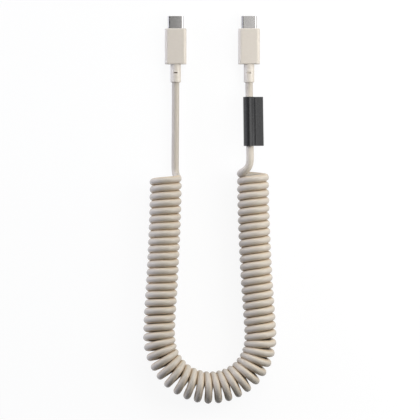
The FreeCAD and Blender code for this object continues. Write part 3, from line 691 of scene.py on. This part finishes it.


# %% [markdown]
# ## Sand plastic, steel and rubber
#
# The jacket and the mouldings are a soft, satin plastic in a warm sand colour, a little deeper on the jacket.
# Light that enters between two turns bounces between them and comes out warmer, so the flanks of the turns
# get a painted shade, a browner tone. The bottom of the slot in strain relief A gets painted shade, a dark
# brown.
# The steel is drawn, and its grain is stretched along the plug. The rubber is nearly black and fine-grained.

# %% Finishes for the pieces seen from outside
SAND = ((0.726, 0.662, 0.570), (0.747, 0.683, 0.591))
DEEPER_SAND = ((0.568, 0.513, 0.435), (0.585, 0.530, 0.451))
BARE_STEEL = ((0.39, 0.38, 0.37), (0.42, 0.41, 0.40))
RUBBER_BLACK = ((0.008, 0.008, 0.009), (0.012, 0.012, 0.013))
# painted shade: the browner tone painted on the turns' flanks, and the dark brown painted inside slot A
FLANK_PAINTED_SHADE_BROWN = (0.620, 0.490, 0.334)
SLOT_PAINTED_SHADE_BROWN = (0.160, 0.110, 0.060)
jacket = finish(
    "sand_jacket", DEEPER_SAND, roughness=(0.42, 0.50), scale=900.0, bump=1.5e-6,
    stretch=(1, 0.02, 1), uv=JACKET_MAP, Specular_IOR_Level=0.15, Coat_Weight=0.32, Coat_Roughness=0.16,
)
moulded = finish(
    "sand_moulding", SAND, roughness=(0.38, 0.44), scale=5200.0, bump=8e-7,
    Specular_IOR_Level=0.40, Coat_Weight=0.30, Coat_Roughness=0.15,
)
steel = finish(
    "drawn_steel", BARE_STEEL, roughness=(0.16, 0.20), scale=3000.0, bump=2e-7,
    stretch=(1, 0.06, 1), Metallic=1.0,
)
rubber = finish(
    "black_rubber", RUBBER_BLACK, roughness=(0.24, 0.30), scale=3600.0, bump=2e-6,
    Specular_IOR_Level=0.50,
)
# paint the shade into the jacket's flanks and into slot A of the mouldings
paint_shade_into(jacket, FLANK_PAINTED_SHADE_BROWN)
paint_shade_into(moulded, SLOT_PAINTED_SHADE_BROWN)
wear(cord, jacket)
wear(label, rubber)
for piece in housings + reliefs:
    wear(piece, moulded)
for piece in shells:
    wear(piece, steel)
print("finished", 2 + len(housings + reliefs + shells), "outer pieces")

# %% [markdown]
# ## Finishes inside the plugs
#
# Through the mouth of a shell one sees a black carrier, gold-plated contacts and bright spring steel. Behind
# them, hidden by the housing, are a green circuit board, tinned shield cans and five coloured wires. These
# pieces keep their CAD shapes, so they only get finishes here, chosen by the last words of their names.

# %% Finishes for the pieces inside the plugs
INNER = {
    "contact_carrier": finish(
        "carrier_moulding", ((0.018, 0.018, 0.019), (0.026, 0.026, 0.027)),
        roughness=(0.40, 0.52), scale=6000.0, bump=2e-6),
    "contacts": finish(
        "gold_plate", ((0.72, 0.48, 0.16), (0.80, 0.56, 0.22)),
        roughness=(0.20, 0.30), scale=9000.0, bump=4e-7, Metallic=1.0),
    "spring": finish(
        "spring_steel", ((0.46, 0.46, 0.46), (0.54, 0.54, 0.53)),
        roughness=(0.22, 0.34), scale=5000.0, bump=6e-7, stretch=(1, 0.1, 1), Metallic=1.0),
    "paddle_card": finish(
        "board_lacquer", ((0.010, 0.085, 0.030), (0.016, 0.115, 0.042)),
        roughness=(0.28, 0.40), scale=4000.0, bump=1.5e-6),
    "shield_can": finish(
        "tinned_can", ((0.52, 0.52, 0.51), (0.62, 0.62, 0.60)),
        roughness=(0.30, 0.46), scale=2500.0, bump=1e-6, Metallic=1.0),
}
INSULATION = {
    "red": ((0.42, 0.020, 0.018), (0.50, 0.030, 0.024)),
    "blue": ((0.014, 0.045, 0.30), (0.020, 0.060, 0.36)),
    "black": ((0.014, 0.014, 0.014), (0.022, 0.022, 0.022)),
    "white": ((0.70, 0.70, 0.67), (0.76, 0.76, 0.73)),
    "green": ((0.016, 0.20, 0.040), (0.022, 0.25, 0.055)),
}
for colour, tones in INSULATION.items():
    INNER[f"{colour}_wire"] = finish(
        f"{colour}_insulation", tones, roughness=(0.36, 0.46), scale=5000.0, bump=2e-6)
dressed = 0
for name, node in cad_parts.items():
    for ending, material in INNER.items():
        if name.endswith(ending):
            wear(node, material)
            dressed += 1
print("finished", dressed, "inner nodes")

# %% [markdown]
# ## The table
#
# The cable lies on a plain white table. A bright enough lamp could burn any table white, but it would burn
# the cable too. So the table shows a near-white of its own to the camera, and to rays that come off steel or
# through something clear, and it takes a little of the real light as well, which keeps the shadow on it. It
# lies a hair below the cable, so that the two surfaces never share a place.

# %% Rays that show the background
def seen_rays(tree):
    """A socket that is 1 for rays from the camera, off a reflection or through something clear, else 0."""
    path = tree.nodes.new("ShaderNodeLightPath")
    total = path.outputs["Is Camera Ray"]
    for kind in ("Is Glossy Ray", "Is Transmission Ray"):
        either = tree.nodes.new("ShaderNodeMath")
        either.operation = "ADD"
        either.use_clamp = True
        tree.links.new(total, either.inputs[0])
        tree.links.new(path.outputs[kind], either.inputs[1])
        total = either.outputs["Value"]
    return total


# %% Floor
TABLE_HALF = 3.0
TABLE_LEVEL = -0.00003
SHOWN_SHARE = 0.50
SHOWN_LEVEL = 1.83
MATTE_GREY = (0.20, 0.20, 0.20, 1)
floor_mesh = bpy.data.meshes.new("table")
ways = ((-1, -1), (1, -1), (1, 1), (-1, 1))
floor_corners = [(x * TABLE_HALF, y * TABLE_HALF, TABLE_LEVEL) for x, y in ways]
floor_mesh.from_pydata(floor_corners, [], [(0, 1, 2, 3)])
floor = bpy.data.objects.new("table", floor_mesh)
scene.collection.objects.link(floor)
table_top = bpy.data.materials.new("white_table")
table_top.use_nodes = True
tree = table_top.node_tree
tree.nodes.clear()
share_node = tree.nodes.new("ShaderNodeMath")
share_node.operation = "MULTIPLY"
share_node.inputs[1].default_value = SHOWN_SHARE
tree.links.new(seen_rays(tree), share_node.inputs[0])
matte = tree.nodes.new("ShaderNodeBsdfDiffuse")
matte.inputs["Color"].default_value = MATTE_GREY
white = tree.nodes.new("ShaderNodeEmission")
white.inputs["Strength"].default_value = SHOWN_LEVEL
mix = tree.nodes.new("ShaderNodeMixShader")
tree.links.new(share_node.outputs["Value"], mix.inputs["Fac"])
tree.links.new(matte.outputs["BSDF"], mix.inputs[1])
tree.links.new(white.outputs["Emission"], mix.inputs[2])
surface = tree.nodes.new("ShaderNodeOutputMaterial")
tree.links.new(mix.outputs["Shader"], surface.inputs["Surface"])
wear(floor, table_top)
print("table laid at", TABLE_LEVEL, "m")

# %% [markdown]
# ## The light
#
# Soft studio light comes from flat lamps. Two stand beyond the plugs, one high and one low, and light the
# side of every turn that faces the plugs. A small lamp stands close on the right, so plug B gets more of it
# than plug A. A weak cool lamp on the left draws a rim along every left edge, and a low strip beside it fills
# the left ends of the turns. The strip is kept out of reflections, or it would draw a hard line along the
# black label. The overhead panel is there for the steel: a flat of bare metal shows what is straight above
# it. Its left edge hangs just right of the middle, so plug B mirrors more of it than plug A does. Seen from
# the side, the same flat shows the walls of the studio. They are part of the world: pale up to about 30
# degrees above the table and gone by 55, for the camera and for reflections only, while other rays find a
# dim grey room.

# %% World
scene.view_settings.view_transform = "Standard"
ROOM_LEVEL = 0.018
WALL_LEVEL = 0.70
WALL_TOP = (0.48, 0.82)
world = bpy.data.worlds.new("studio")
world.use_nodes = True
sky = world.node_tree
toward = sky.nodes.new("ShaderNodeTexCoord")
upward = sky.nodes.new("ShaderNodeSeparateXYZ")
sky.links.new(toward.outputs["Generated"], upward.inputs["Vector"])
wall = sky.nodes.new("ShaderNodeMapRange")
wall.interpolation_type = "SMOOTHSTEP"
wall.inputs["From Min"].default_value = WALL_TOP[0]
wall.inputs["From Max"].default_value = WALL_TOP[1]
wall.inputs["To Min"].default_value = WALL_LEVEL
wall.inputs["To Max"].default_value = 0.0
sky.links.new(upward.outputs["Z"], wall.inputs["Value"])
shown = seen_rays(sky)
level = sky.nodes.new("ShaderNodeMath")
level.operation = "MULTIPLY_ADD"
level.inputs[2].default_value = ROOM_LEVEL
sky.links.new(shown, level.inputs[0])
sky.links.new(wall.outputs["Result"], level.inputs[1])
sky.links.new(level.outputs["Value"], sky.nodes["Background"].inputs["Strength"])
sky.nodes["Background"].inputs["Color"].default_value = (1.0, 1.0, 1.0, 1)
scene.world = world
print("world: room", ROOM_LEVEL, "and walls", WALL_LEVEL)

# %% Lamps
TARGET = np.array([-1.0, -85.0, 5.0]) * MM


def softbox(name, direction, distance, size, level, colour=(1.0, 1.0, 1.0)):
    """A flat lamp that faces the object, with a width and a height in metres.

    A white surface turned to it shows the stated level: power = level x pi^2 x distance^2, since
    power / (pi x distance^2) arrives straight ahead of the lamp and matt white shows that over pi.
    """
    lamp = bpy.data.lights.new(name, "AREA")
    lamp.shape = "RECTANGLE"
    lamp.size, lamp.size_y = size
    lamp.color = colour
    lamp.energy = level * math.pi**2 * distance**2
    holder = bpy.data.objects.new(name, lamp)
    heading = np.array(direction, float) / np.linalg.norm(direction)
    holder.location = TARGET + heading * distance
    holder.rotation_mode = "QUATERNION"
    holder.rotation_quaternion = (holder.location - Vector(TARGET)).to_track_quat("Z", "Y")
    scene.collection.objects.link(holder)
    return holder


RIM_BLUE = (0.78, 0.82, 1.0)
FILL_BLUE = (0.76, 0.81, 1.0)
softbox("front_softbox", (0.32, 0.57, 0.76), distance=1.0, size=(0.7, 0.5), level=0.25)
softbox("low_front_softbox", (0.10, 0.90, 0.35), distance=1.0, size=(0.6, 0.6), level=0.45)
softbox("right_softbox", (0.85, 0.10, 0.50), distance=0.32, size=(0.26, 0.26), level=0.83)
softbox("left_softbox", (-1.0, 0.20, 0.25), distance=1.2, size=(0.5, 0.5), level=0.17, colour=RIM_BLUE)
strip = softbox(
    "left_strip", (-1.0, 0.25, 0.14), distance=1.0, size=(1.1, 0.3), level=0.95, colour=FILL_BLUE)
strip.visible_glossy = False
softbox("overhead_softbox", (0.16, 0.09, 1.0), distance=2.1, size=(0.6, 0.6), level=0.049)
